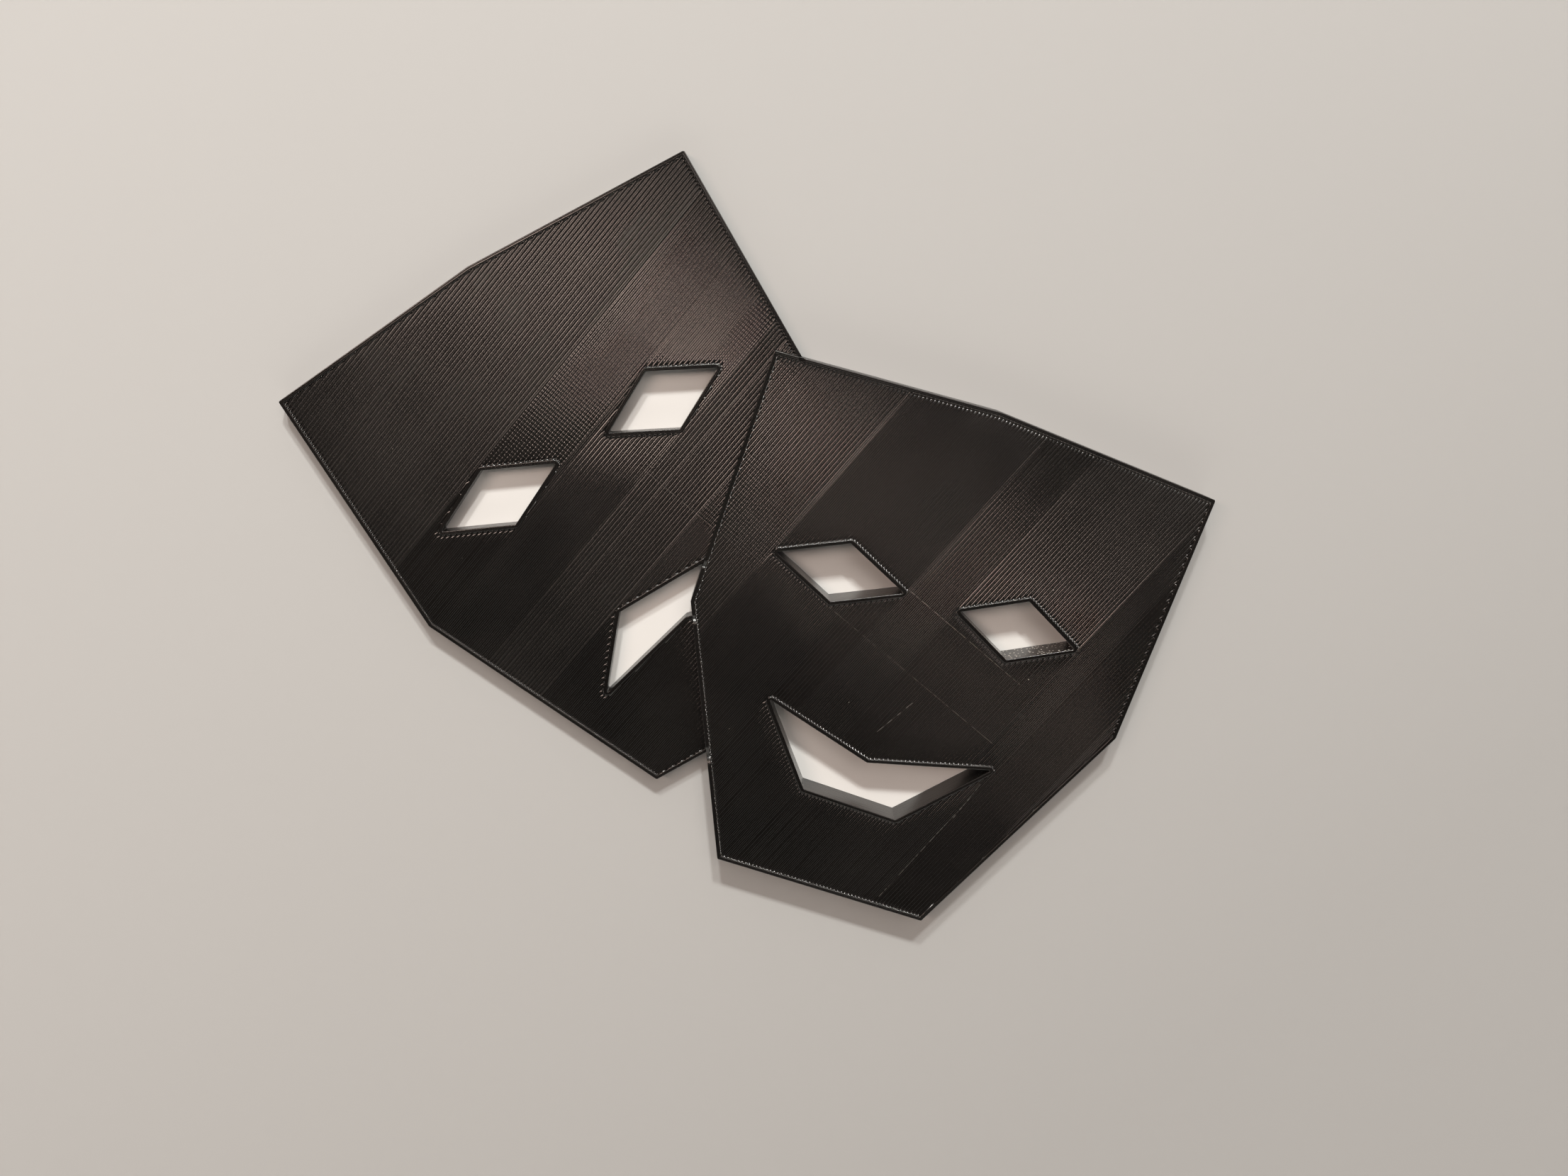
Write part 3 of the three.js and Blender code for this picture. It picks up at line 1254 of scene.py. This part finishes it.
@dataclass
class Plaque:
    """The whole plaque: the weeping mask behind, the laughing mask in front."""

    tragedy: Mask = field(default_factory=lambda: Mask(
        "tragedy", Place(-57.3, 55.2, 30.2), TRAGEDY_DEPTH,
        ((-24.5, 92.7), (-12.0, 78.2), (12.0, 77.9), (24.5, 92.7), (0.0, 86.5)),
        edge_seed=11, opening_seed=21,
    ))
    comedy: Mask = field(default_factory=lambda: Mask(
        "comedy", Place(53.8, 25.5, -18.6), COMEDY_DEPTH,
        ((-26.5, 75.6), (-0.8, 83.0), (26.7, 75.9), (10.0, 94.1), (-12.3, 93.5)),
        edge_seed=12, opening_seed=31,
    ))
    overlap: float = 0.6
    ruling_inset: float = 0.86
    back_style: FieldStyle = FieldStyle((0.0, 0.0), valley=0.015)
    rough_wall: str = "comedy_right_eye"
    ruled: BlackFilament = BlackFilament("ruled_filament")
    stacked: BlackFilament = BlackFilament("stacked_filament", roughness=0.22)
    speckled: BlackFilament = BlackFilament("speckled_filament", roughness=0.2, dust_share=0.6,
                                            dust_size=0.32, dust_scale=1500.0, dust_on_top=True)
    tragedy_styles: tuple[FieldStyle, ...] = (
        FieldStyle((-62.8, 34.3), 0.014, 0.024, 0.02, 0.032, gloss=0.4, relief=0.3),
        FieldStyle((-25.6, 37.8), 0.02, 0.016, 0.012, 0.04, gloss=0.85, relief=1.0),
        FieldStyle((-4.1, 41.5), 0.016, 0.014, 0.012, 0.04, gloss=0.9, relief=0.8),
        FieldStyle((-43.1, -4.2), 0.012, 0.005, valley=0.03, gloss=0.7),
        FieldStyle((-23.6, 4.3), 0.008, 0.024, 0.02, 0.034, gloss=0.4, relief=0.3),
        FieldStyle((-23.4, -6.0), 0.008, 0.024, 0.02, 0.034, gloss=0.4, relief=0.3),
        FieldStyle((-12.3, -6.7), 0.0, 0.01, valley=0.045, relief=1.2),
        FieldStyle((-66.3, -9.3), 0.0, valley=0.014, gloss=0.9),
        FieldStyle((-20.8, -38.2), 0.0, valley=0.014, gloss=0.9),
    )
    comedy_styles: tuple[FieldStyle, ...] = (
        FieldStyle((10.0, 17.5), 0.01, 0.014, 0.012, 0.036, gloss=0.7, relief=0.8),
        FieldStyle((3.8, -26.2), 0.0, 0.005, valley=0.014, gloss=0.8, relief=0.6),
        FieldStyle((39.7, 9.4), -0.003, 0.006, valley=0.03, gloss=0.6, relief=0.7),
        FieldStyle((19.1, -28.7), -0.004, 0.003, valley=0.009, gloss=0.8, relief=0.5),
        FieldStyle((43.6, -14.9), 0.014, 0.016, 0.015, 0.032, gloss=0.85, relief=0.5),
        FieldStyle((77.0, -4.8), 0.024, 0.024, 0.02, 0.036, gloss=0.6, relief=0.3),
        FieldStyle((45.1, -41.9), -0.004, 0.005, valley=0.012, gloss=0.8, relief=0.5),
        FieldStyle((75.8, -30.8), 0.004, 0.01, 0.015, 0.035, gloss=0.8, relief=0.3),
        FieldStyle((62.6, -59.6), -0.01, 0.004, valley=0.012, gloss=0.9, relief=0.3),
        FieldStyle((10.1, -71.9), 0.0, valley=0.008, gloss=0.9, relief=0.1),
    )

    def all_round(self, points: np.ndarray) -> np.ndarray:
        """Lets a wall start at the back of the plaque everywhere."""
        return np.zeros(len(points))

    def beside_comedy(self, points: np.ndarray) -> np.ndarray:
        """Lets a wall of the weeping mask stop where the laughing mask covers it."""
        return np.where(within(self.comedy.plate(self.overlap), points), NO_WALL, 0.0)

    def on_tragedy(self, points: np.ndarray) -> np.ndarray:
        """Lets the laughing mask's wall start two layers under the weeping mask's face.

        Args:
            points: Places on the wall's contour.

        Returns:
            The height at which the wall starts there.
        """
        frown = self.tragedy.openings()["mouth"].polygon()
        below = Area([(self.tragedy.plate(), [frown])]).holds(points)
        return np.where(below, TRAGEDY_DEPTH - 2 * LAYER, 0.0)

    def walls(self) -> list[LayeredWall]:
        """Lists the walls of both masks, each with the rule for the height at which it starts.

        Returns:
            The outer walls and then the walls of the openings.
        """
        floors = (self.beside_comedy, self.on_tragedy)
        found = [LayeredWall(f"{mask.name}_edge", mask.outline(), mask.depth, floor, mask.edge_seed)
                 for mask, floor in zip((self.tragedy, self.comedy), floors)]
        for mask in (self.tragedy, self.comedy):
            for number, (name, contour) in enumerate(mask.openings().items()):
                covered = mask is self.tragedy and name == "mouth"
                floor = self.beside_comedy if covered else self.all_round
                seed = mask.opening_seed + number
                found.append(LayeredWall(f"{mask.name}_{name}", contour, mask.depth, floor, seed))
        return found

    def faces(self) -> list[RuledFace]:
        """Lists the ruled faces: both fronts and the shared back.

        Returns:
            The faces.
        """
        inset = self.ruling_inset
        weeping = (self.tragedy.plate(inset), self.tragedy.holes(inset))
        laughing, smile = self.comedy.plate(inset), self.comedy.holes(inset)
        behind = Area([weeping], [self.comedy.plate(self.overlap)])
        back = Area([weeping, (laughing, [])], smile)
        return [
            RuledFace("tragedy_ruling", behind, TRAGEDY_DEPTH, Facing.ROOM, self.tragedy_styles, seed=5),
            RuledFace("comedy_ruling", Area([(laughing, smile)]), COMEDY_DEPTH, Facing.ROOM,
                      self.comedy_styles, seed=6),
            RuledFace("back_ruling", back, 0.0, Facing.WALL, plain=self.back_style, sink=0.0,
                      inner_steps=1, seed=7),
        ]

    def build(self) -> None:
        """Makes every piece and dresses it."""
        ruled, stacked, speckled = (f.material() for f in (self.ruled, self.stacked, self.speckled))
        core = Core()
        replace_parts(core.shell().piece(core.name, ruled), NODE)
        for wall in self.walls():
            wall.shell().piece(wall.name, speckled if wall.name == self.rough_wall else stacked)
        for face in self.faces():
            face.shell().piece(face.name, ruled)


def stand(name: str, data: bpy.types.ID, axes: Sequence[Vector],
          place: Vector | Triple) -> bpy.types.Object:
    """Puts a light or a camera on the stage.

    Args:
        name: Name of the object.
        data: The light or the camera.
        axes: Where its own right, its own up and its own back point.
        place: Where it stands, in metres.

    Returns:
        The object.
    """
    made = bpy.data.objects.new(name, data)
    made.matrix_world = Matrix.Translation(place) @ Matrix(axes).transposed().to_4x4()
    bpy.context.scene.collection.objects.link(made)
    return made


@dataclass(frozen=True)
class Lamp:
    """A soft light with four sides: direction, distance, size across and along, power, colour.

    Its long side lies as close as it can to the direction given for it.
    """

    name: str
    direction: Triple
    distance: float
    size: Pair
    power: float
    color: Triple = (1.0, 1.0, 0.95)
    long_side: Triple = (0.0, 0.0, 1.0)

    def build(self) -> None:
        """Hangs the light and aims it at the origin."""
        data = bpy.data.lights.new(self.name, "AREA")
        data.shape, data.energy, data.color = "RECTANGLE", self.power, self.color
        data.size, data.size_y = self.size
        back = Vector(self.direction).normalized()
        across = Vector(self.long_side).cross(back).normalized()
        stand(self.name, data, (across, back.cross(across), back), back * self.distance)


@dataclass
class Studio:
    """Wall, floor, lights and camera, in metres. None of them belongs to the plaque."""

    wall_gap: float = 0.0001
    clear_within: float = 0.0003
    floor_level: float = -0.7
    floor_depth: float = 0.7
    reach: float = 4.0
    paint_roughness: float = 0.9
    paint_specular: float = 0.2
    floor_color: Triple = (0.735, 0.75, 0.735)
    # Painted light on the wall: a painted falloff from bright at its upper left to dim at its lower right,
    # and painted brighter light behind the masks
    wall_painted_bright: Triple = (0.545, 0.545, 0.542)
    wall_painted_dim: Triple = (0.435, 0.434, 0.432)
    wall_painted_glow: Triple = (0.82, 0.812, 0.8)
    ramp_way: Triple = (0.707, 0.0, -0.707)
    ramp_reach: float = 0.17
    mask_middles: tuple[Pair, ...] = ((-26.1, 1.6), (34.0, -33.3))
    inside_radius: Pair = (0.041, 0.0435)
    sky_color: Triple = (1.0, 0.9, 0.82)
    sky_light: Pair = (0.07, 0.8)
    sky_height: Pair = (0.45, 0.85)
    camera_place: Triple = (0.00362, -0.26523, 0.05026)
    camera_right: Triple = (0.99986, -0.0165, 0.0)
    camera_ahead: Triple = (0.01603, 0.97176, -0.23543)
    camera_near: float = 0.01
    lens: float = 28.09
    sensor: float = 36.0
    lamps: tuple[Lamp, ...] = (
        Lamp("key_right", (0.2, -1.0, 1.24), 1.6, (0.1, 0.1), 12.4),
        Lamp("key_left", (-0.08, -1.0, 1.34), 1.6, (0.1, 0.1), 11.2),
        Lamp("strip_left", (-0.445, -0.851, 0.28), 1.5, (0.12, 0.8), 5.8, (1.0, 0.77, 0.655),
             (-0.986, 0.0, 0.388)),
        Lamp("soft_front", (0.3, -1.0, 0.45), 1.8, (1.0, 0.8), 6.5, (1.0, 0.88, 0.8)),
        Lamp("soft_back", (0.1, 1.0, -0.1), 1.6, (1.0, 1.0), 3.0),
    )

    def sheet(self, name: str, corners: Sequence[Triple], material: bpy.types.Material) -> None:
        """Makes a flat stage sheet.

        Args:
            name: Name of the sheet.
            corners: Its four corners, in order.
            material: Its paint.
        """
        mesh = bpy.data.meshes.new(name)
        mesh.from_pydata([Vector(corner) for corner in corners], [], [tuple(range(len(corners)))])
        mesh.materials.append(material)
        made = bpy.data.objects.new(name, mesh)
        bpy.context.scene.collection.objects.link(made)

    def painted_wall_light(self, graph: Graph) -> Socket:
        """Colours the wall as the photograph shows it.

        A painted falloff makes it dimmer towards the lower right, and painted light makes it brighter where
        it shows through the openings. The bright rounds stay within the masks' outlines.

        Args:
            graph: The paint's node tree.

        Returns:
            The colour.
        """
        spot = graph.node("ShaderNodeTexCoord").outputs["Object"]
        along = graph.vector("DOT_PRODUCT", spot, self.ramp_way)
        share = graph.remap(along, (-self.ramp_reach, self.ramp_reach))
        # Painted shade: a falloff from bright at the upper left to dim at the lower right
        tone = graph.mix(share, self.wall_painted_bright, self.wall_painted_dim)
        for x, z in self.mask_middles:
            away = graph.vector("DISTANCE", spot, (x * MILLIMETRE, self.wall_gap, z * MILLIMETRE))
            # Painted light: a brighter round behind each mask, where the wall shows through the openings
            tone = graph.mix(graph.remap(away, self.inside_radius, (1.0, 0.0)), tone, self.wall_painted_glow)
        return tone

    def paint(self, name: str, color: Triple | None = None) -> bpy.types.Material:
        """Makes a matt paint: a plain one, or the wall's.

        The wall's paint shows only from its front, so that views from behind see the plaque's
        back, and light reaches it there.

        Args:
            name: Name of the material.
            color: Colour of a plain paint, or None for the wall's.

        Returns:
            The material.
        """
        made = bpy.data.materials.new(name)
        made.use_nodes = True
        graph = Graph(made.node_tree)
        sockets = {"Base Color": (*color, 1.0) if color else self.painted_wall_light(graph),
                   "Roughness": self.paint_roughness, "Specular IOR Level": self.paint_specular}
        shader = graph.node("ShaderNodeBsdfPrincipled", sockets).outputs[0]
        if color is None:
            behind = graph.node("ShaderNodeNewGeometry").outputs["Backfacing"]
            length = graph.node("ShaderNodeLightPath").outputs["Ray Length"]
            share = graph.math("MAXIMUM", behind, graph.math("LESS_THAN", length, self.clear_within))
            clear = graph.node("ShaderNodeBsdfTransparent").outputs[0]
            shader = graph.node("ShaderNodeMixShader", {0: share, 1: shader, 2: clear}).outputs[0]
        graph.node("ShaderNodeOutputMaterial", {"Surface": shader})
        return made

    def camera(self) -> None:
        """Stands the camera where the photograph was taken from, level from side to side."""
        data = bpy.data.cameras.new("camera")
        data.lens, data.sensor_width, data.clip_start = self.lens, self.sensor, self.camera_near
        right, ahead = Vector(self.camera_right).normalized(), Vector(self.camera_ahead).normalized()
        axes = (right, right.cross(ahead), -ahead)
        bpy.context.scene.camera = stand("camera", data, axes, self.camera_place)

    def sky(self) -> None:
        """Lights the room evenly from above and leaves it dim below the horizon."""
        world = bpy.data.worlds.new("studio_sky")
        world.use_nodes = True
        graph = Graph(world.node_tree)
        way = graph.node("ShaderNodeTexCoord").outputs["Generated"]
        height = graph.node("ShaderNodeSeparateXYZ", {0: way}).outputs["Z"]
        strength = graph.remap(height, self.sky_height, self.sky_light, "SMOOTHSTEP")
        light = graph.node("ShaderNodeBackground", {0: (*self.sky_color, 1.0), 1: strength})
        graph.node("ShaderNodeOutputWorld", {0: light.outputs[0]})
        bpy.context.scene.world = world

    def build(self) -> None:
        """Builds the stage."""
        reach, gap, floor, deep = self.reach, self.wall_gap, self.floor_level, self.floor_depth
        wall = [(-reach, gap, floor), (reach, gap, floor), (reach, gap, reach), (-reach, gap, reach)]
        corners = ((-reach, -deep), (reach, -deep), (reach, deep), (-reach, deep))
        ground = [(x, y, floor) for x, y in corners]
        self.sheet("backdrop", wall, self.paint("wall_paint"))
        self.sheet("floor", ground, self.paint("floor_paint", self.floor_color))
        for lamp in self.lamps:
            lamp.build()
        self.sky()
        self.camera()


def main() -> None:
    """Builds the studio and the plaque."""
    logging.basicConfig(level=logging.INFO, format="%(name)s: %(message)s")
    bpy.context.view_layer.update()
    bpy.context.scene.view_settings.view_transform = "Standard"
    Studio().build()
    Plaque().build()


if __name__ == "__main__":
    main()
